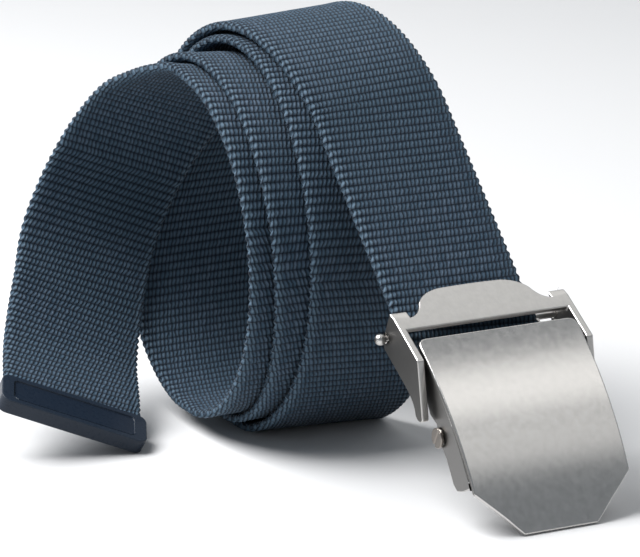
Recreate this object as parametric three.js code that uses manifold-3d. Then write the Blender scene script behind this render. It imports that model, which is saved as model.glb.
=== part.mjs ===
// A canvas web belt, rolled up, with a steel flip-cover buckle, lying on a flat surface.
// Millimetres, +Z up. The roll's axis runs along X, the buckle points to -Y, and the origin
// is on the surface under the middle of the belt.

import * as THREE from 'three';
import { mergeVertices } from 'three/addons/utils/BufferGeometryUtils.js';
import Module from 'manifold-3d';

const wasm = await Module();
wasm.setup();

// Webbing
const WEB_WIDTH = 38;
const WEB_THICKNESS = 2;
const BEND_STEP = 4; // degrees of the roll from one section of the strap to the next

// Roll, measured over the outermost turn's left edge
const ROLL_DEPTH = 103.2;
const ROLL_HEIGHT = 107.2;
const TURNS = 3;
const TURN_GAP = 0.3;
const FLOOR_DENT = 0.3; // how far the roll's own weight flattens it on the surface
// How the turns lie, one row each quarter turn, in shares of the webbing's width: side is the
// strap's place along the axis, and left and right are how far its edges stand outside the
// plain spiral
const LIE = [
  { turn: -0.5, side: 0.9, left: 0, right: 0 },
  { turn: -0.25, side: 0.69, left: 0, right: -0.045 },
  { turn: 0, side: 0.46, left: 0, right: 0.05 },
  { turn: 0.25, side: 0.37, left: 0, right: 0.055 },
  { turn: 0.5, side: 0.35, left: 0.02, right: 0.08 },
  { turn: 0.75, side: 0.39, left: 0, right: -0.01 },
  { turn: 1, side: 0.42, left: -0.027, right: 0 },
  { turn: 1.25, side: 0.37, left: 0, right: 0 },
  { turn: 1.5, side: 0.28, left: 0, right: 0 },
  { turn: 1.75, side: 0.15, left: 0, right: -0.03 },
  { turn: 2, side: 0.13, left: -0.055, right: -0.13 },
  { turn: 2.25, side: 0.09, left: 0, right: -0.03 },
  { turn: 2.5, side: 0.03, left: 0, right: 0 },
  { turn: 2.75, side: 0, left: -0.01, right: -0.07 },
  { turn: 3, side: -0.03, left: -0.05, right: -0.15 },
];

// Tongue: the free end, from the top of the innermost turn to the tip. side is a share of
// the webbing's width, back and height are shares of the innermost turn's half depth and
// top, and twist is in degrees about the strap's own length
const TONGUE = [
  { side: -0.04, back: 0, height: 0.96, twist: 6.5 },
  { side: -0.09, back: 0.21, height: 0.936, twist: 8.5 },
  { side: -0.15, back: 0.435, height: 0.889, twist: 11 },
  { side: -0.25, back: 0.68, height: 0.812, twist: 15 },
  { side: -0.38, back: 0.88, height: 0.697, twist: 12 },
  { side: -0.54, back: 0.98, height: 0.561, twist: 6 },
  { side: -0.71, back: 0.95, height: 0.426, twist: -1 },
  { side: -0.89, back: 0.757, height: 0.296, twist: -11 },
  { side: -1.1, back: 0.446, height: 0.188, twist: -15 },
  { side: -1.32, back: 0, height: 0.108, twist: -15 },
];
const TONGUE_STEPS = 42;
const ROLL_END = 2.92; // turns after which the strap starts to leave the roll as the tongue

// Tip: a sleeve over the end of the tongue
const TIP_LENGTH = 11.5;
const TIP_WALL = 0.8;
const TIP_BORDER = 1.8;
const TIP_SIDE_BORDER = 3.4;
const TIP_SUNK = 0.3;
const TIP_CORNER = 2.6;

// Strap from the roll to the buckle
const LEAVE_ANGLE = 46; // degrees in front of the roll's top
const LEAVE_TURN = 2.7; // degrees to the right, seen from above
const RUN_STEPS = 9;

// Buckle, in its own frame: x to the right, y back towards the roll, z out of its plate,
// with the origin in the middle, level with the plate's outer face
const BUCKLE_TILT = 31;
const SIDE_ROOM = 3.8; // between the webbing and a wall when the strap lies in the middle
const WALL = 2;
const PLATE = 1.5;
const PLATE_FRONT = 1.2;
const HUMP_REACH = 13.8;
const HUMP_WIDTH = 31.5;
const HUMP_FOOT = 4.2; // how much wider the hump's foot is, at each side
const SHOULDER_REACH = 5.2;
const LIP_REACH = 7.7;
const LIP_DROP = 0.5;
const ARM_REACH = 9.6;
const WALL_DEPTH = 10.6;
const LOBE_REACH = 19.2;
const LOBE_DEPTH = 13.4;
const LOBE_RADIUS = 1.8;
const BAR_WIDTH = 5.2;
const BAR_THICKNESS = 1.2;
const BAR_REACH = 7; // of the cross bar's front edge

// Where the strap's middle line comes in between the walls, and where it ends
const STRAP_SIDE = -2.8;
const STRAP_IN = { back: 11.5, below: 3.8 };
const STRAP_OVER_PIN = { back: 5.6, below: 5.1 };
const STRAP_END = { back: 1.2, below: 5.9 };

// Clamp: a pin with ball ends through the walls, and the plate that holds the strap
const CLAMP_RADIUS = 0.9;
const BALL_RADIUS = 1.5;
const CLAMP_PLATE = 1.2;
const CLAMP_REACH = 2.6; // of its plate to each side of the pin
const CLAMP_STEP = 0.5; // of its plate below the pin's top

// Cover
const COVER_GAP = 0.4; // at each side, to the walls
const COVER_START = 3.3; // in front of the origin
const COVER_PROUD = 0.9;
const COVER_LENGTH = 55;
const COVER_THICKNESS = 1.3;
const COVER_TAPER = 0.7; // how much narrower each side is at the front corners
const COVER_CORNER = 2.2;
const REAR_SLOPE = 6.6; // degrees below the plate
const FRONT_SLOPE = 40;
const CURL = 1.25; // above 1 the curve tightens towards the front
const CLIP_LENGTH = 11.8;
const FRONT_WIDTH = 20.4;
const FLANGE = 1.2;
const FLANGE_INSET = 0.8; // from the cover's edge to the flange's outer face
const FLANGE_DEPTH = 11;
// Lower edge of the flange: along is a share of the cover's length and depth of FLANGE_DEPTH
const FLANGE_EDGE = [
  { along: 0.06, depth: 0.45 },
  { along: 0.14, depth: 0.72 },
  { along: 0.3, depth: 0.95 },
  { along: 0.37, depth: 0.83 },
  { along: 0.475, depth: 0.95 },
  { along: 0.56, depth: 0.91 },
  { along: 0.69, depth: 0.92 },
  { along: 0.735, depth: 0.83 },
  { along: 0.75, depth: 0.55 },
  { along: 0.755, depth: 0.22 },
  { along: 0.758, depth: 0.06 },
];
const COVER_STEPS = 24;

// Pins in the cover
const HINGE_REACH = 7; // in front of the origin
const HINGE_BELOW = 4.2;
const HINGE_RADIUS = 1.4;
const HINGE_LUG = 3.2;
const HINGE_SOCKET = 1; // depth of the blind hole in each wall
const LOCK_ALONG = 0.443; // share of the cover's length
const LOCK_DEPTH = 9.3;
const LOCK_RADIUS = 1.6;
const LOCK_HEAD_RADIUS = 2.6;
const LOCK_HEAD = 0.9;
const LOCK_SLOT = 0.7;
const CLEARANCE = 0.3; // between pieces that touch on the real belt
const ROUND_SIDES = 24;

const STEEL = new THREE.MeshStandardMaterial({ color: 0x9b9b99, roughness: 0.35, metalness: 1 });
const CANVAS = new THREE.MeshStandardMaterial({ color: 0x2a3a4f, roughness: 0.85, metalness: 0 });
const ENAMEL = new THREE.MeshStandardMaterial({ color: 0x0e141c, roughness: 0.3, metalness: 0.2 });

const insideWidth = WEB_WIDTH + 2 * SIDE_ROOM;
const outsideWidth = insideWidth + 2 * WALL;
const coverWidth = insideWidth - 2 * COVER_GAP;
const flangeOuter = coverWidth / 2 - FLANGE_INSET;

const radians = THREE.MathUtils.degToRad;
const degrees = THREE.MathUtils.radToDeg;
const X = new THREE.Vector3(1, 0, 0);
const Y = new THREE.Vector3(0, 1, 0);
const Z = new THREE.Vector3(0, 0, 1);

function solid(geometry) {
  const bare = geometry.clone();
  bare.deleteAttribute('normal');
  bare.deleteAttribute('uv');
  const merged = mergeVertices(bare.index ? bare.toNonIndexed() : bare, 1e-4);
  return new wasm.Manifold(new wasm.Mesh({
    numProp: 3,
    vertProperties: new Float32Array(merged.attributes.position.array),
    triVerts: new Uint32Array(merged.index.array),
  }));
}

function geometryOf(body) {
  const { vertProperties, triVerts } = body.getMesh();
  const geometry = new THREE.BufferGeometry();
  geometry.setAttribute('position', new THREE.BufferAttribute(vertProperties, 3));
  geometry.setIndex(new THREE.BufferAttribute(triVerts, 1));
  geometry.computeVertexNormals();
  return geometry;
}

function mesh(name, body, material) {
  const piece = new THREE.Mesh(geometryOf(body), material);
  piece.name = name;
  return piece;
}

// A body through rings of points, all with the same number of corners, closed at both ends.
// Seen from the first ring's outer side, the corners go round anticlockwise
function loft(rings) {
  const corners = rings[0].length;
  const triangles = [];
  for (let i = 0; i < rings.length - 1; i += 1) {
    for (let j = 0; j < corners; j += 1) {
      const next = (j + 1) % corners;
      triangles.push(rings[i][j], rings[i + 1][next], rings[i][next]);
      triangles.push(rings[i][j], rings[i + 1][j], rings[i + 1][next]);
    }
  }
  const last = rings[rings.length - 1];
  for (let j = 1; j < corners - 1; j += 1) {
    triangles.push(rings[0][0], rings[0][j], rings[0][j + 1]);
    triangles.push(last[0], last[j + 1], last[j]);
  }
  return solid(new THREE.BufferGeometry().setFromPoints(triangles));
}

// A side view, drawn in y and z, given a thickness from x to x + width
function sideways(shape, x, width) {
  const geometry = new THREE.ExtrudeGeometry(shape, { depth: width, bevelEnabled: false, curveSegments: 8 });
  geometry.applyMatrix4(new THREE.Matrix4().makeBasis(Y, Z, X));
  return solid(geometry.translate(x, 0, 0));
}

function box(width, depth, height, x, y, z) {
  return solid(new THREE.BoxGeometry(width, depth, height).translate(x, y, z));
}

// A round bar along X
function bar(radius, length, x, y, z) {
  const geometry = new THREE.CylinderGeometry(radius, radius, length, ROUND_SIDES);
  return solid(geometry.rotateZ(Math.PI / 2).translate(x, y, z));
}

const lieCurve = new THREE.CatmullRomCurve3(
  LIE.map((row) => new THREE.Vector3(row.side, row.left, row.right).multiplyScalar(WEB_WIDTH)),
  false,
  'catmullrom',
);
const lieSpan = LIE[LIE.length - 1].turn - LIE[0].turn;

// A section of the roll, from its two edges. turn 0 is the top of the outermost turn, and each
// turn goes back, down, forward and up inside the last
function rollSection(turn) {
  const angle = 2 * Math.PI * turn;
  const pitch = WEB_THICKNESS + TURN_GAP;
  const halfDepth = (ROLL_DEPTH - WEB_THICKNESS) / 2;
  const halfHeight = (ROLL_HEIGHT + FLOOR_DENT + pitch / 2 - WEB_THICKNESS) / 2;
  const middle = ROLL_HEIGHT - WEB_THICKNESS / 2 - halfHeight;
  const lowest = WEB_THICKNESS / 2 + Math.floor(Math.max(turn, 0)) * pitch;
  const lie = lieCurve.getPoint((turn - LIE[0].turn) / lieSpan);
  const [left, right] = [[-1, lie.y], [1, lie.z]].map(([edge, stand]) => new THREE.Vector3(
    lie.x + edge * WEB_WIDTH / 2,
    (halfDepth - turn * pitch + stand) * Math.sin(angle),
    Math.max(middle + (halfHeight - turn * pitch + stand) * Math.cos(angle), lowest),
  ));
  return { point: left.clone().lerp(right, 0.5), across: right.sub(left) };
}

// The strap's sections: each has its middle point and a direction from its left edge to its
// right one
function rollSections() {
  const first = -LEAVE_ANGLE / 360;
  const count = Math.round((ROLL_END - first) * 360 / BEND_STEP);
  const step = (ROLL_END - first) / count;
  return Array.from({ length: count + 1 }, (_, i) => rollSection(first + i * step));
}

// Square to the direction along the strap, and turned about it by twist, in degrees
function acrossStrap(along, twist) {
  const across = X.clone().addScaledVector(along, -along.dot(X)).normalize();
  return across.applyAxisAngle(along, radians(twist));
}

// lift raises the tip by that much, and the rest of the tongue by less
function tongueSections(lift) {
  const halfDepth = ROLL_DEPTH / 2 - WEB_THICKNESS / 2 - TURNS * (WEB_THICKNESS + TURN_GAP);
  const top = ROLL_HEIGHT - WEB_THICKNESS / 2 - TURNS * (WEB_THICKNESS + TURN_GAP);
  const leaves = [ROLL_END, ROLL_END + 0.02].map((turn) => rollSection(turn));
  const start = leaves.map(({ point, across }) => (
    { point, twist: -degrees(Math.asin(across.z / across.length())) }
  ));
  const rows = TONGUE.map((row, i) => ({
    point: new THREE.Vector3(
      row.side * WEB_WIDTH,
      row.back * halfDepth,
      row.height * top + lift * ((i + 1) / TONGUE.length) ** 2,
    ),
    twist: row.twist,
  }));
  const all = [...start, ...rows];
  const route = new THREE.CatmullRomCurve3(all.map((row) => row.point), false, 'centripetal');
  const twists = new THREE.SplineCurve(all.map((row, i) => new THREE.Vector2(i, row.twist)));
  const sections = Array.from({ length: TONGUE_STEPS }, (_, i) => {
    const t = route.getUtoTmapping((i + 1) / TONGUE_STEPS);
    return { point: route.getPoint(t), across: acrossStrap(route.getTangent(t), twists.getPoint(t).y) };
  });
  const end = sections[sections.length - 1];
  const ahead = route.getTangent(1);
  for (const share of [0.05, 1]) {
    const point = end.point.clone().addScaledVector(ahead, share * TIP_LENGTH);
    sections.push({ point, across: end.across });
  }
  return sections;
}

// across runs from the strap's left edge to its right one, out is the face's normal
function axesAt(sections, i) {
  const before = sections[Math.max(i - 1, 0)].point;
  const after = sections[Math.min(i + 1, sections.length - 1)].point;
  const along = after.clone().sub(before).normalize();
  const across = sections[i].across.clone();
  across.addScaledVector(along, -along.dot(across)).normalize();
  const out = new THREE.Vector3().crossVectors(across, along);
  return { along, across, out };
}

function corner(middle, axes, side, face) {
  return middle.clone().addScaledVector(axes.across, side).addScaledVector(axes.out, face);
}

function stripRing(middle, axes, width, thickness) {
  return [[-1, -1], [1, -1], [1, 1], [-1, 1]]
    .map(([side, face]) => corner(middle, axes, side * width / 2, face * thickness / 2));
}

const tipWidth = WEB_WIDTH + 2 * (TIP_WALL + CLEARANCE);
const tipThickness = WEB_THICKNESS + 2 * (TIP_WALL + CLEARANCE);

// The sleeve's start and its axes
function tipPlace(sections) {
  const count = sections.length;
  const axes = axesAt(sections, count - 1);
  const end = sections[count - 1].point.clone().addScaledVector(axes.along, CLEARANCE + TIP_WALL);
  return { axes, start: end.clone().addScaledVector(axes.along, -TIP_LENGTH) };
}

// A flat body with round corners, between two distances along the strap
function slab(place, from, to, width, thickness, radius, raise = 0) {
  const { axes, start } = place;
  const shape = new THREE.Shape();
  shape.moveTo(-width / 2, from + radius);
  shape.lineTo(-width / 2, to - radius);
  shape.absarc(-width / 2 + radius, to - radius, radius, Math.PI, Math.PI / 2, true);
  shape.absarc(width / 2 - radius, to - radius, radius, Math.PI / 2, 0, true);
  shape.absarc(width / 2 - radius, from + radius, radius, 0, -Math.PI / 2, true);
  shape.absarc(-width / 2 + radius, from + radius, radius, -Math.PI / 2, -Math.PI, true);
  const geometry = new THREE.ExtrudeGeometry(shape, { depth: thickness, bevelEnabled: false, curveSegments: 6 });
  geometry.translate(0, 0, raise - thickness / 2);
  geometry.applyMatrix4(new THREE.Matrix4().makeBasis(axes.across, axes.along, axes.out).setPosition(start));
  return solid(geometry);
}

function tipOutside(place) {
  return slab(place, 0, TIP_LENGTH, tipWidth, tipThickness, TIP_CORNER);
}

// The tip rests on the surface, so the tongue is lifted until its lowest point does
function settledTongue() {
  let lift = 0;
  for (let pass = 0; pass < 4; pass += 1) {
    const place = tipPlace(tongueSections(lift));
    lift -= tipOutside(place).boundingBox().min[2];
  }
  return tongueSections(lift);
}

function tipCap(sections) {
  const place = tipPlace(sections);
  let body = tipOutside(place);
  const insideWide = WEB_WIDTH + 2 * CLEARANCE;
  const insideThick = WEB_THICKNESS + 2 * CLEARANCE;
  body = body.subtract(slab(place, -1, TIP_LENGTH - TIP_WALL, insideWide, insideThick, CLEARANCE));
  const panelWide = tipWidth - 2 * TIP_SIDE_BORDER;
  const panelEnd = TIP_LENGTH - TIP_BORDER;
  for (const face of [-1, 1]) {
    const raise = face * tipThickness / 2;
    body = body.subtract(slab(place, TIP_BORDER, panelEnd, panelWide, 2 * TIP_SUNK, TIP_CORNER / 2, raise));
  }
  return mesh('tip_cap', body, ENAMEL);
}

// The plate seen from its outer side: shoulders, and a hump over the strap
function framePlate() {
  const half = outsideWidth / 2;
  const side = HUMP_WIDTH / 2;
  const foot = side + HUMP_FOOT;
  const crown = side - HUMP_REACH / 2;
  const waist = (SHOULDER_REACH + HUMP_REACH) / 2;
  const shape = new THREE.Shape();
  shape.moveTo(-half, PLATE_FRONT);
  shape.lineTo(half, PLATE_FRONT);
  shape.lineTo(half, SHOULDER_REACH);
  shape.lineTo(foot, SHOULDER_REACH);
  shape.quadraticCurveTo(side + HUMP_FOOT / 3, SHOULDER_REACH + 0.6, side, waist);
  shape.quadraticCurveTo(side - HUMP_FOOT / 2, HUMP_REACH - 0.9, crown, HUMP_REACH - 0.2);
  shape.quadraticCurveTo(0, HUMP_REACH + 0.2, -crown, HUMP_REACH - 0.2);
  shape.quadraticCurveTo(-side + HUMP_FOOT / 2, HUMP_REACH - 0.9, -side, waist);
  shape.quadraticCurveTo(-side - HUMP_FOOT / 3, SHOULDER_REACH + 0.6, -foot, SHOULDER_REACH);
  shape.lineTo(-half, SHOULDER_REACH);
  shape.closePath();
  const geometry = new THREE.ExtrudeGeometry(shape, { depth: PLATE, bevelEnabled: false, curveSegments: 8 });
  return { body: solid(geometry.translate(0, 0, -PLATE)), foot };
}

function frameWall(x) {
  const shape = new THREE.Shape();
  shape.moveTo(SHOULDER_REACH, 0);
  shape.lineTo(LIP_REACH, -LIP_DROP);
  shape.lineTo(LIP_REACH - 0.2, -LIP_DROP - 1.5);
  shape.lineTo(LIP_REACH - 0.6, -WALL_DEPTH + 2.4);
  shape.lineTo(LIP_REACH - 2.4, -WALL_DEPTH);
  shape.lineTo(-BAR_REACH, -WALL_DEPTH);
  const lobe = -LOBE_REACH + 2 * LOBE_RADIUS;
  shape.quadraticCurveTo(lobe + LOBE_RADIUS, -WALL_DEPTH, lobe, -LOBE_DEPTH + 0.3);
  shape.quadraticCurveTo(-LOBE_REACH + 0.9, -LOBE_DEPTH - 0.6, -LOBE_REACH, -LOBE_DEPTH + LOBE_RADIUS);
  shape.lineTo(-ARM_REACH, 0);
  shape.closePath();
  return sideways(shape, x, WALL);
}

// The shoulder's rear edge is turned down
function frameLip(x, width) {
  const shape = new THREE.Shape();
  shape.moveTo(SHOULDER_REACH - 0.5, 0);
  shape.lineTo(SHOULDER_REACH - 0.5, -PLATE);
  shape.lineTo(LIP_REACH - 1, -LIP_DROP - 0.6);
  shape.lineTo(LIP_REACH, -LIP_DROP);
  shape.lineTo(SHOULDER_REACH, 0);
  shape.closePath();
  return sideways(shape, x, width);
}

const pinY = STRAP_OVER_PIN.back;
const pinZ = -STRAP_OVER_PIN.below - WEB_THICKNESS / 2 - CLEARANCE - CLAMP_RADIUS;
const hinge = { y: -HINGE_REACH, z: -HINGE_BELOW };

function buckleFrame() {
  const plate = framePlate();
  const lip = outsideWidth / 2 - plate.foot;
  let body = plate.body;
  body = body.add(frameWall(-outsideWidth / 2)).add(frameWall(insideWidth / 2));
  body = body.add(frameLip(-outsideWidth / 2, lip)).add(frameLip(plate.foot, lip));
  const barY = -BAR_REACH + BAR_WIDTH / 2;
  body = body.add(box(insideWidth + WALL, BAR_WIDTH, BAR_THICKNESS, 0, barY, -WALL_DEPTH + BAR_THICKNESS / 2));
  body = body.subtract(bar(CLAMP_RADIUS + CLEARANCE, outsideWidth + 2, 0, pinY, pinZ));
  body = body.subtract(bar(HINGE_RADIUS + CLEARANCE, insideWidth + 2 * HINGE_SOCKET, 0, hinge.y, hinge.z));
  return mesh('frame', body, STEEL);
}

function clamp() {
  const ballX = outsideWidth / 2 + CLEARANCE + BALL_RADIUS * 0.9;
  let body = bar(CLAMP_RADIUS, 2 * ballX, 0, pinY, pinZ);
  for (const side of [-1, 1]) {
    const ball = new THREE.SphereGeometry(BALL_RADIUS, 16, 10);
    body = body.add(solid(ball.translate(side * ballX, pinY, pinZ)));
  }
  const plateZ = pinZ + CLAMP_RADIUS - CLAMP_PLATE / 2 - CLAMP_STEP;
  body = body.add(box(WEB_WIDTH - 2, 2 * CLAMP_REACH, CLAMP_PLATE, 0, pinY, plateZ));
  return mesh('clamp', body, STEEL);
}

// The cover's outer line in side view, from its rear edge to its front edge
function coverLine() {
  const fine = 10;
  const steps = COVER_STEPS * fine;
  const slopeAt = (share) => radians(REAR_SLOPE + (FRONT_SLOPE - REAR_SLOPE) * share ** CURL);
  const line = [];
  let y = -COVER_START;
  let z = COVER_PROUD;
  for (let i = 0; i <= steps; i += 1) {
    line.push({ y, z, slope: slopeAt(i / steps) });
    const slope = slopeAt((i + 0.5) / steps);
    y -= Math.cos(slope) * COVER_LENGTH / steps;
    z -= Math.sin(slope) * COVER_LENGTH / steps;
  }
  return (share, depth) => {
    const { y: lineY, z: lineZ, slope } = line[Math.round(share * steps)];
    return { y: lineY + depth * Math.sin(slope), z: lineZ - depth * Math.cos(slope) };
  };
}
const coverAt = coverLine();

function coverHalfWidth(distance) {
  const clipStart = COVER_LENGTH - CLIP_LENGTH;
  if (distance < COVER_CORNER) {
    const left = COVER_CORNER - distance;
    return coverWidth / 2 - COVER_CORNER + Math.sqrt(COVER_CORNER ** 2 - left ** 2);
  }
  const corners = coverWidth / 2 - COVER_TAPER;
  if (distance <= clipStart) {
    return THREE.MathUtils.mapLinear(distance, COVER_CORNER, clipStart, coverWidth / 2, corners);
  }
  return THREE.MathUtils.mapLinear(distance, clipStart, COVER_LENGTH, corners, FRONT_WIDTH / 2);
}

function coverPlate() {
  const clipStart = COVER_LENGTH - CLIP_LENGTH;
  const distances = [0, 0.1 * COVER_CORNER, 0.4 * COVER_CORNER, COVER_CORNER];
  const bodySteps = Math.round(COVER_STEPS * clipStart / COVER_LENGTH);
  for (let i = 1; i <= bodySteps; i += 1) {
    distances.push(COVER_CORNER + (clipStart - COVER_CORNER) * i / bodySteps);
  }
  const clipSteps = COVER_STEPS - bodySteps;
  for (let i = 1; i <= clipSteps; i += 1) {
    distances.push(clipStart + CLIP_LENGTH * i / clipSteps);
  }
  return loft(distances.map((distance) => {
    const half = coverHalfWidth(distance);
    const outer = coverAt(distance / COVER_LENGTH, 0);
    const inner = coverAt(distance / COVER_LENGTH, COVER_THICKNESS);
    return [[-half, inner], [-half, outer], [half, outer], [half, inner]]
      .map(([x, place]) => new THREE.Vector3(x, place.y, place.z));
  }));
}

function coverFlange(x) {
  const first = FLANGE_EDGE[0];
  const last = FLANGE_EDGE[FLANGE_EDGE.length - 1];
  const upper = Array.from({ length: COVER_STEPS + 1 }, (_, i) => {
    const share = THREE.MathUtils.lerp(last.along, first.along, i / COVER_STEPS);
    return coverAt(share, COVER_THICKNESS / 2);
  });
  const lower = FLANGE_EDGE.slice(0, -1).map((row) => coverAt(row.along, row.depth * FLANGE_DEPTH));
  const shape = new THREE.Shape([...upper, ...lower].map((point) => new THREE.Vector2(point.y, point.z)));
  return sideways(shape, x, FLANGE).add(bar(HINGE_LUG, FLANGE, x + FLANGE / 2, hinge.y, hinge.z));
}

const lock = coverAt(LOCK_ALONG, LOCK_DEPTH);

function cover() {
  let body = coverPlate();
  body = body.add(coverFlange(-flangeOuter)).add(coverFlange(flangeOuter - FLANGE));
  body = body.subtract(bar(HINGE_RADIUS + CLEARANCE, coverWidth, 0, hinge.y, hinge.z));
  body = body.subtract(bar(LOCK_RADIUS + CLEARANCE, coverWidth, 0, lock.y, lock.z));
  return mesh('cover', body, STEEL);
}

function hingePin() {
  const length = insideWidth + 2 * HINGE_SOCKET - 2 * CLEARANCE;
  return mesh('hinge_pin', bar(HINGE_RADIUS, length, 0, hinge.y, hinge.z), STEEL);
}

function lockPin() {
  const headX = flangeOuter + CLEARANCE + LOCK_HEAD / 2;
  let body = bar(LOCK_RADIUS, 2 * headX, 0, lock.y, lock.z);
  for (const side of [-1, 1]) {
    const slot = box(LOCK_SLOT, LOCK_SLOT, 3 * LOCK_HEAD_RADIUS, side * (headX + LOCK_HEAD / 2), lock.y, lock.z);
    body = body.add(bar(LOCK_HEAD_RADIUS, LOCK_HEAD, side * headX, lock.y, lock.z)).subtract(slot);
  }
  return mesh('lock_pin', body, STEEL);
}

function buckle() {
  const group = new THREE.Group();
  group.add(buckleFrame(), clamp(), hingePin(), cover(), lockPin());
  group.rotation.x = radians(BUCKLE_TILT);
  return group;
}

// Places the buckle so that the straight run of the strap comes in between its walls and
// the cover's front edge rests on the surface, and returns the strap's sections there
function hangBuckle(group) {
  const leave = rollSection(-LEAVE_ANGLE / 360).point;
  const [before, after] = [-0.5, 0.5].map((turn) => rollSection((-LEAVE_ANGLE + turn) / 360).point);
  const away = after.sub(before);
  const down = new THREE.Vector3(0, -away.y, -away.z).normalize();
  down.addScaledVector(X, Math.tan(radians(LEAVE_TURN))).normalize();
  group.updateMatrixWorld(true);
  const local = (row) => new THREE.Vector3(STRAP_SIDE, row.back, -row.below).applyMatrix4(group.matrixWorld);
  const front = coverAt(1, COVER_THICKNESS);
  const lowest = new THREE.Vector3(0, front.y, front.z).applyMatrix4(group.matrixWorld);
  const run = (leave.z - local(STRAP_IN).z + lowest.z) / -down.z;
  const comesIn = leave.clone().addScaledVector(down, run);
  group.position.copy(comesIn).sub(local(STRAP_IN));
  group.updateMatrixWorld(true);
  const rows = [STRAP_END, STRAP_OVER_PIN, STRAP_IN].map((row) => local(row));
  for (let i = 1; i < RUN_STEPS; i += 1) {
    rows.push(comesIn.clone().lerp(leave, i / RUN_STEPS));
  }
  return rows.map((point) => ({ point, across: X }));
}

function strap(sections) {
  const rings = sections.map((section, i) => (
    stripRing(section.point, axesAt(sections, i), WEB_WIDTH, WEB_THICKNESS)
  ));
  return mesh('webbing', loft(rings), CANVAS);
}

const belt = new THREE.Group();
const buckleGroup = buckle();
const sections = [...hangBuckle(buckleGroup), ...rollSections(), ...settledTongue()];
belt.add(strap(sections), tipCap(sections), buckleGroup);

const extent = new THREE.Box3().setFromObject(belt, true);
const middle = extent.getCenter(new THREE.Vector3());
belt.position.set(-middle.x, -middle.y, -extent.min.z);

export default belt;
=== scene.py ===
import math

import bmesh
import bpy
import numpy as np
from mathutils import Matrix, Vector


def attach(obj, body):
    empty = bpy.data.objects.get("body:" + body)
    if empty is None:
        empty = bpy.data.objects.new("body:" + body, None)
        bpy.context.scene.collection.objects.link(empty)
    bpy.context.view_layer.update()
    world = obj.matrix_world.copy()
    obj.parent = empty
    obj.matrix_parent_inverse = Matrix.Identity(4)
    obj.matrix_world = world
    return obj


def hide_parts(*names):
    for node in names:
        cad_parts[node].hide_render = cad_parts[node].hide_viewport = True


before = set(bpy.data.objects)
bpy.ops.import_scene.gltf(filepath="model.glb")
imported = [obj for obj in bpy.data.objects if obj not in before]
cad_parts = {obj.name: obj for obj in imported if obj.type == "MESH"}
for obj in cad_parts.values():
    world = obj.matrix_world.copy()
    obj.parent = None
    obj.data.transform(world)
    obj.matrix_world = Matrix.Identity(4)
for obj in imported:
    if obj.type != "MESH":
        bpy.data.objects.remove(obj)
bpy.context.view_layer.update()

MM = 0.001

# Webbing
WIDTH = 38 * MM
RIB = 2.18 * MM  # one weft cord after another, along the strap
FLOAT = 1.15 * MM  # one warp yarn after another, across the strap
RIB_STEPS = 5
RIB_SKEW = 0.055  # how far a rib runs along the strap on its way across
CREST = 1.06 * MM  # half the thickness on a rib
TROUGH = 0.84 * MM  # half the thickness between two ribs
EDGE_BAND = 2.1 * MM
EDGE_BLEND = 0.5 * MM
EDGE_CREST = 1.2 * MM  # half the thickness on a bead of the edge
EDGE_TROUGH = 0.75 * MM
EDGE_BEAD = 0.6 * MM  # how far a bead swells sideways
BEAD_START = 0.6  # share of a bead's height where it stands at the edge itself
BEAD_SLANT = 0.3  # turn of a bead's rib from one face to the other
FACE_STEPS = 10
EDGE_STEPS = 5

# Strokes of the warp yarns
STROKE_LEAN = 0.5  # share of a stroke that the next row is set off by
OTHER_LEAN = ((20, 40), (178, 17), (325, 21), (466, 26))  # middle row and rows to each side of it
STROKE_SHARE = 0.8  # of the height, the rest is the same across the row
ROW_SHARE = 0.8  # of the height, the rest is the same along the strap
GRAIN_SHARE = 0.25
YARN_DARK = (0.036, 0.07, 0.11, 1)
YARN_LIGHT = (0.076, 0.116, 0.168, 1)
YARN_FADED = (0.047, 0.086, 0.127, 1)
# Lighter, painted highlight along both edges of the strap
SELVEDGE_HIGHLIGHT = (0.082, 0.132, 0.185, 1)
# Near black, painted shade in the hollows between the yarns
SHADE_BETWEEN_YARNS = (0.002, 0.007, 0.016, 1)

# Camera, from a fit to the photograph's edges
CAMERA_AZIMUTH = 26.046  # degrees to the left of the buckle's front
CAMERA_ELEVATION = 14.768
CAMERA_DISTANCE = 1.10424
CAMERA_ROLL = -0.815
CAMERA_TARGET = Vector((0.03127, 0.03517, 0.03585))
PHOTO_WIDTH = 640
FOCAL_PIXELS = 4136.1

# Metal and enamel
COVER_STEEL = (0.625, 0.61, 0.592)
FRAME_STEEL = (0.6, 0.585, 0.565)
PIN_STEEL = (0.34, 0.31, 0.28)
ENAMEL = (0.011, 0.018, 0.031, 1)
# Paler, painted highlight on the sharp edges of the tip cap
EDGE_HIGHLIGHT_ENAMEL = (0.04, 0.052, 0.068, 1)
SAME_POINT = 1e-6
FLAT_ANGLE = math.radians(0.4)  # faces that meet at less than this become one
BEVEL_ANGLE = math.radians(32)  # edges sharper than this are rounded
BEVEL_STEPS = 3

# Studio
WARM = (1.0, 0.985, 0.96)
NEUTRAL = (1.0, 1.0, 1.0)
SURROUND = (0.25, 0.27, 0.29, 1)
BUCKLE_Y, BUCKLE_Z = -0.06, 0.04
FLOOR_SIZE = 8
FLOOR_GREY = (0.67, 0.67, 0.675, 1)


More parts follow.
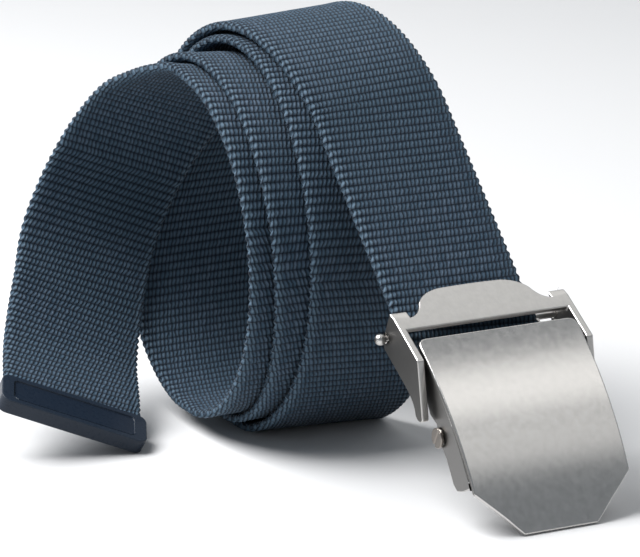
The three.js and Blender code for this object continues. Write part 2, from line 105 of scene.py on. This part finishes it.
class Nodes:
    """Builds a material's node tree with short calls."""

    def __init__(self, name):
        self.material = bpy.data.materials.new(name)
        self.material.use_nodes = True
        self.tree = self.material.node_tree
        self.shader = self.tree.nodes["Principled BSDF"]

    def add(self, kind, **settings):
        node = self.tree.nodes.new(kind)
        for key, value in settings.items():
            setattr(node, key, value)
        return node

    def link(self, source, target):
        self.tree.links.new(source, target)

    def feed(self, value, target):
        if isinstance(value, (int, float, tuple)):
            target.default_value = value
        else:
            self.link(value, target)

    def math(self, operation, first, second=0.0, third=0.0):
        node = self.add("ShaderNodeMath", operation=operation)
        for value, target in zip((first, second, third), node.inputs):
            self.feed(value, target)
        return node.outputs[0]

    def mix(self, factor, first, second):
        node = self.add("ShaderNodeMix", data_type="RGBA")
        self.feed(factor, node.inputs[0])
        self.feed(first, node.inputs[6])
        self.feed(second, node.inputs[7])
        return node.outputs[2]

    def ramp(self, value, *stops):
        """stops are pairs of a position and a grey value."""
        node = self.add("ShaderNodeValToRGB")
        while len(node.color_ramp.elements) < len(stops):
            node.color_ramp.elements.new(0.5)
        for element, (position, grey) in zip(node.color_ramp.elements, stops):
            element.position = position
            element.color = (grey, grey, grey, 1)
        self.link(value, node.inputs[0])
        return node.outputs[0]

    def noise(self, vector, scale, detail, roughness=0.5):
        node = self.add("ShaderNodeTexNoise")
        self.link(vector, node.inputs["Vector"])
        node.inputs["Scale"].default_value = scale
        node.inputs["Detail"].default_value = detail
        node.inputs["Roughness"].default_value = roughness
        return node.outputs["Fac"]

    def stretched(self, vector, scale):
        node = self.add("ShaderNodeMapping")
        self.link(vector, node.inputs["Vector"])
        node.inputs["Scale"].default_value = scale
        return node.outputs[0]

    def bump(self, height, strength, distance):
        node = self.add("ShaderNodeBump")
        node.inputs["Strength"].default_value = strength
        node.inputs["Distance"].default_value = distance
        self.link(height, node.inputs["Height"])
        self.link(node.outputs[0], self.shader.inputs["Normal"])


def webbing_material():
    """Warp yarns float over weft cords: rows of short strokes, with painted shade in the hollows
    between them.

    The strokes lean one way low on each turn and the other way high on it.
    """
    m = Nodes("webbing")
    uv = m.add("ShaderNodeUVMap", uv_map="weave").outputs[0]
    parts = m.add("ShaderNodeSeparateXYZ")
    m.link(uv, parts.inputs[0])
    across, along = parts.outputs[0], parts.outputs[1]
    wobble = m.noise(m.stretched(uv, (0.5, 0.9, 1)), 1.0, 2)
    lean = STROKE_LEAN
    for middle, half in OTHER_LEAN:
        lean = m.math("SUBTRACT", lean, m.math("COMPARE", along, middle, half))
    slanted = m.math("MULTIPLY_ADD", along, lean, m.math("MULTIPLY_ADD", wobble, 0.9, across))
    stroke = m.math("SINE", m.math("MULTIPLY", m.math("FRACT", slanted), math.pi))
    row = m.math("SINE", m.math("MULTIPLY", m.math("FRACT", along), math.pi))
    grain = m.noise(m.stretched(uv, (9, 2.2, 1)), 1.0, 4)
    rounded = m.math("MULTIPLY_ADD", m.math("POWER", row, 0.8), ROW_SHARE, 1 - ROW_SHARE)
    height = m.math("MULTIPLY", rounded, m.math("MULTIPLY_ADD", stroke, STROKE_SHARE, 1 - STROKE_SHARE))
    height = m.math("MULTIPLY_ADD", grain, GRAIN_SHARE, height)

    cell = m.add("ShaderNodeCombineXYZ")
    m.link(m.math("FLOOR", slanted), cell.inputs[0])
    m.link(m.math("FLOOR", along), cell.inputs[1])
    each = m.add("ShaderNodeTexWhiteNoise", noise_dimensions="2D")
    m.link(cell.outputs[0], each.inputs["Vector"])
    # Painted shade: where the weave's height is low, between strokes and rows, the colour goes to near
    # black
    hollow_shade = m.ramp(height, (0.3, 0.0), (1.0, 1.0))
    place = m.add("ShaderNodeTexCoord").outputs["Object"]
    wide = m.ramp(m.noise(place, 28, 2), (0.35, 0.0), (0.7, 1.0))
    yarn = m.mix(each.outputs["Value"], YARN_DARK, YARN_LIGHT)
    yarn = m.mix(wide, yarn, YARN_FADED)
    share = m.math("MULTIPLY", m.math("ABSOLUTE", across), FLOAT / (WIDTH / 2))
    # Painted highlight: the outer bands along both edges of the strap are lighter
    selvedge_highlight = m.ramp(share, (0.885, 0.0), (0.91, 1.0))
    yarn = m.mix(selvedge_highlight, yarn, SELVEDGE_HIGHLIGHT)
    m.link(m.mix(hollow_shade, SHADE_BETWEEN_YARNS, yarn), m.shader.inputs["Base Color"])
    m.link(m.ramp(grain, (0.3, 0.62), (0.7, 0.8)), m.shader.inputs["Roughness"])
    m.shader.inputs["Sheen Weight"].default_value = 0.05
    m.shader.inputs["Sheen Roughness"].default_value = 0.45
    m.shader.inputs["Specular IOR Level"].default_value = 0.2
    m.bump(height, 1.0, 0.45 * MM)
    return m.material


def steel_material(name, tone, roughness, side_shade):
    """Satin stainless steel: a fine mottled grain, and faces turned along X that are rougher and carry
    painted shade that makes them darker.
    """
    m = Nodes(name)
    place = m.add("ShaderNodeTexCoord").outputs["Object"]
    cloud = m.noise(place, 520, 5, 0.6)
    streak = m.noise(m.stretched(place, (2600, 500, 500)), 1.0, 2)
    shade = m.math("MULTIPLY_ADD", streak, 0.25, m.math("MULTIPLY", cloud, 0.75))
    facing = m.add("ShaderNodeSeparateXYZ")
    m.link(m.add("ShaderNodeNewGeometry").outputs["True Normal"], facing.inputs[0])
    # Faces turned along X: the colour gets painted shade and the roughness rises
    side = m.ramp(m.math("ABSOLUTE", facing.outputs[0]), (0.8, 0.0), (0.97, 1.0))
    dark = tuple(0.9 * v for v in tone) + (1,)
    face = m.mix(m.ramp(shade, (0.36, 0.0), (0.64, 1.0)), dark, tone + (1,))
    # Painted shade: faces turned along X are darkened by the side_shade share of the tone
    shaded_sides = tuple(side_shade * v for v in tone) + (1,)
    m.link(m.mix(side, face, shaded_sides), m.shader.inputs["Base Color"])
    grain = m.ramp(shade, (0.36, roughness - 0.015), (0.64, roughness + 0.015))
    m.link(m.math("MULTIPLY_ADD", side, 0.12, grain), m.shader.inputs["Roughness"])
    m.shader.inputs["Metallic"].default_value = 1.0
    m.bump(shade, 0.05, 0.02 * MM)
    return m.material


def enamel_material():
    """Dark smooth enamel with a little orange peel, and painted highlight that makes its sharp edges
    paler.
    """
    m = Nodes("tip_enamel")
    place = m.add("ShaderNodeTexCoord").outputs["Object"]
    peel = m.noise(place, 900, 2)
    pointed = m.add("ShaderNodeNewGeometry").outputs["Pointiness"]
    # Painted highlight: sharp convex edges turn paler
    edge_highlight = m.ramp(pointed, (0.52, 0.0), (0.6, 1.0))
    colour = m.mix(edge_highlight, ENAMEL, EDGE_HIGHLIGHT_ENAMEL)
    m.link(colour, m.shader.inputs["Base Color"])
    m.link(m.ramp(peel, (0.3, 0.24), (0.7, 0.36)), m.shader.inputs["Roughness"])
    m.shader.inputs["Specular IOR Level"].default_value = 0.22
    m.bump(peel, 0.15, 0.03 * MM)
    return m.material


def floor_material():
    m = Nodes("floor")
    m.shader.inputs["Base Color"].default_value = FLOOR_GREY
    m.shader.inputs["Roughness"].default_value = 0.9
    m.shader.inputs["Specular IOR Level"].default_value = 0.1
    return m.material


def strap_rings():
    """The sections of the CAD strap, from its end in the buckle to its tip, each with its two
    left corners before its two right ones."""
    bm = bmesh.new()
    bm.from_mesh(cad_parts["webbing"].data)
    bmesh.ops.remove_doubles(bm, verts=bm.verts, dist=SAME_POINT)
    first = min(bm.verts, key=lambda v: v.co.y)
    near = {e.other_vert(first): e.calc_length() for e in first.link_edges}
    thick = min(near, key=near.get)
    wide = min((v for v in near if near[v] > WIDTH / 2), key=near.get)
    beside_thick = {e.other_vert(thick) for e in thick.link_edges}
    shared = beside_thick & {e.other_vert(wide) for e in wide.link_edges}
    last = min(shared - {first}, key=lambda v: (v.co - wide.co).length)
    layer = {first, thick, wide, last}
    seen = set(layer)
    rings = []
    while layer:
        rings.append(sorted((v.co.copy() for v in layer), key=tuple))
        layer = {e.other_vert(v) for v in layer for e in v.link_edges} - seen
        seen |= layer
    bm.free()
    return rings


def strap_route():
    """Middle, across and out vectors of each section, and its distance along the strap."""
    middles, across, out = [], [], []
    for ring in strap_rings():
        left, right = ring[:2], ring[2:]
        middle = sum(ring, Vector()) / 4
        side = (sum(right, Vector()) - sum(left, Vector())).normalized()
        face = (left[0] - left[1]).normalized()
        reference = out[-1] if out else Vector((0, 0, 1))
        middles.append(middle)
        across.append(side)
        out.append(face if face.dot(reference) > 0 else -face)
    steps = [(b - a).length for a, b in zip(middles, middles[1:])]
    distance = np.concatenate(([0.0], np.cumsum(steps)))
    return distance, *(np.array([tuple(v) for v in rows]) for rows in (middles, across, out))


def smooth(distance, values, at):
    """Values between the sections, on a cubic through them."""
    slopes = np.gradient(values, distance, axis=0)
    i = np.clip(np.searchsorted(distance, at) - 1, 0, len(distance) - 2)
    span = (distance[i + 1] - distance[i])[:, None]
    t = ((at - distance[i])[:, None]) / span
    first, last = values[i], values[i + 1]
    bend = (1 - t) * (slopes[i] * span - (last - first)) - t * (slopes[i + 1] * span - (last - first))
    return first + t * (last - first) + t * (1 - t) * bend


def strap_profile():
    """Corners of a section: place across, height as a share of half the thickness, edge share
    and distance from the middle round the section."""
    flat = WIDTH / 2 - CREST
    places = [-flat + 2 * flat * i / FACE_STEPS for i in range(FACE_STEPS + 1)]
    face = [(x, 1.0, 0.0, x) for x in places]
    edge = []
    for i in range(1, EDGE_STEPS):
        angle = math.pi * (0.5 - i / EDGE_STEPS)
        around = flat + CREST * (math.pi / 2 - abs(angle))
        edge.append((flat + CREST * math.cos(angle), math.sin(angle), math.cos(angle), around))
    back = [(-x, -height, share, -around) for x, height, share, around in face]
    left = [(-x, -height, share, -around) for x, height, share, around in edge]
    return np.array(face + edge + back + left).T


def webbing():
    distance, middles, across, out = strap_route()
    length = distance[-1]
    at = np.linspace(0, length, int(length / RIB * RIB_STEPS) + 1)
    middle = smooth(distance, middles, at)
    side = smooth(distance, across, at)
    side /= np.linalg.norm(side, axis=1)[:, None]
    face = smooth(distance, out, at)
    face /= np.linalg.norm(face, axis=1)[:, None]
    x, height, edge, around = strap_profile()
    row = (at[:, None] + RIB_SKEW * x[None, :]) / RIB

    rib = np.sin(math.pi * row) ** 2
    bead = np.abs(np.sin(math.pi * (row + 0.5 + BEAD_SLANT * height[None, :] * np.sign(x)[None, :])))
    band = np.clip((np.abs(x) - (WIDTH / 2 - EDGE_BAND)) / EDGE_BLEND, 0, 1)[None, :]
    plain = TROUGH + (CREST - TROUGH) * rib
    corded = EDGE_TROUGH + (EDGE_CREST - EDGE_TROUGH) * bead
    half = plain * (1 - band) + corded * band
    reach = x + np.sign(x) * edge * EDGE_BEAD * (bead - BEAD_START)
    points = (
        middle[:, None, :]
        + side[:, None, :] * reach[:, :, None]
        + face[:, None, :] * (half * height)[:, :, None]
    )
    rows, corners = row.shape
    index = np.arange(rows * corners).reshape(rows, corners)
    following = np.roll(index, -1, axis=1)
    quads = np.stack((index[:-1], index[1:], following[1:], following[:-1]), axis=2).reshape(-1, 4)
    ends = [index[0].tolist(), index[-1][::-1].tolist()]
    mesh = bpy.data.meshes.new("webbing_cloth")
    mesh.from_pydata(points.reshape(-1, 3).tolist(), [], quads.tolist() + ends)
    weave = mesh.uv_layers.new(name="weave")
    places = np.stack((np.tile(around / FLOAT, (rows, 1)), row), axis=2).reshape(-1, 2)
    loops = np.empty(len(mesh.loops), np.int32)
    mesh.loops.foreach_get("vertex_index", loops)
    weave.data.foreach_set("uv", places[loops].ravel())
    mesh.polygons.foreach_set("use_smooth", [True] * len(quads) + [False, False])
    piece = bpy.data.objects.new("webbing_cloth", mesh)
    bpy.context.collection.objects.link(piece)
    piece.data.materials.append(webbing_material())
    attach(piece, "belt")
    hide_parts("webbing")


def finish_node(name, material, width):
    """A CAD node keeps its shape and gets its material, rounded edges and smooth shading."""
    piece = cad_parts[name]
    piece.data.materials.clear()
    piece.data.materials.append(material)
    weld = piece.modifiers.new("weld", "WELD")
    weld.merge_threshold = SAME_POINT
    plain = piece.modifiers.new("planar", "DECIMATE")
    plain.decimate_type = "DISSOLVE"
    plain.angle_limit = FLAT_ANGLE
    bevel = piece.modifiers.new("round", "BEVEL")
    bevel.width = width
    bevel.segments = BEVEL_STEPS
    bevel.limit_method = "ANGLE"
    bevel.angle_limit = BEVEL_ANGLE
    bevel.harden_normals = True
    bevel.use_clamp_overlap = False
    piece.data.polygons.foreach_set("use_smooth", [True] * len(piece.data.polygons))
    piece.modifiers.new("normals", "WEIGHTED_NORMAL").keep_sharp = True


def floor():
    bpy.ops.mesh.primitive_plane_add(size=FLOOR_SIZE)
    plane = bpy.context.object
    plane.name = "floor"
    plane.data.materials.append(floor_material())


def area_light(name, place, size, power, colour):
    """A soft box with two sides along X, tilted towards the height and depth of the buckle."""
    light = bpy.data.lights.new(name, "AREA")
    light.shape = "RECTANGLE"
    light.size, light.size_y = size
    light.energy = power
    light.color = colour
    lamp = bpy.data.objects.new(name, light)
    lamp.location = place
    lamp.rotation_mode = "QUATERNION"
    aim = Vector((place[0], BUCKLE_Y, BUCKLE_Z))
    lamp.rotation_quaternion = (aim - Vector(place)).to_track_quat("-Z", "Y")
    bpy.context.collection.objects.link(lamp)


def studio():
    world = bpy.data.worlds.new("studio")
    bpy.context.scene.world = world
    world.use_nodes = True
    world.node_tree.nodes["Background"].inputs[0].default_value = SURROUND
    # Seen in the cover's middle, in its lower part and in the buckle's plate
    area_light("front_top", (0.6, -0.48, 1.2), (1.0, 0.38), 1.6, WARM)
    area_light("front", (0.6, -0.9, 1.03), (1.0, 0.38), 0.84, WARM)
    area_light("behind", (0.6, 0.42, 1.25), (1.0, 0.6), 2.0, WARM)
    # The key light, where no steel face reflects it
    area_light("overhead", (-0.7, 0.33, 1.05), (0.9, 1.1), 38, NEUTRAL)
    bpy.context.scene.view_settings.view_transform = "Standard"


def camera():
    data = bpy.data.cameras.new("camera")
    data.sensor_width = 36
    data.lens = FOCAL_PIXELS / PHOTO_WIDTH * data.sensor_width
    data.clip_start, data.clip_end = 0.05, 20
    view = bpy.data.objects.new("camera", data)
    a, e = math.radians(CAMERA_AZIMUTH), math.radians(CAMERA_ELEVATION)
    back = Vector((-math.sin(a) * math.cos(e), -math.cos(a) * math.cos(e), math.sin(e)))
    turn = back.to_track_quat("Z", "Y").to_matrix().to_4x4()
    turn = turn @ Matrix.Rotation(math.radians(CAMERA_ROLL), 4, "Z")
    view.matrix_world = Matrix.Translation(CAMERA_TARGET + back * CAMERA_DISTANCE) @ turn
    bpy.context.collection.objects.link(view)
    bpy.context.scene.camera = view


camera()
studio()
floor()
webbing()
cover_steel = steel_material("cover_steel", COVER_STEEL, 0.24, 0.31)
frame_steel = steel_material("frame_steel", FRAME_STEEL, 0.3, 0.19)
pin_steel = steel_material("pin_steel", PIN_STEEL, 0.3, 0.6)
finish_node("frame", frame_steel, 0.45 * MM)
finish_node("cover", cover_steel, 0.42 * MM)
finish_node("clamp", frame_steel, 0.2 * MM)
finish_node("hinge_pin", pin_steel, 0.2 * MM)
finish_node("lock_pin", pin_steel, 0.25 * MM)
finish_node("tip_cap", enamel_material(), 0.3 * MM)
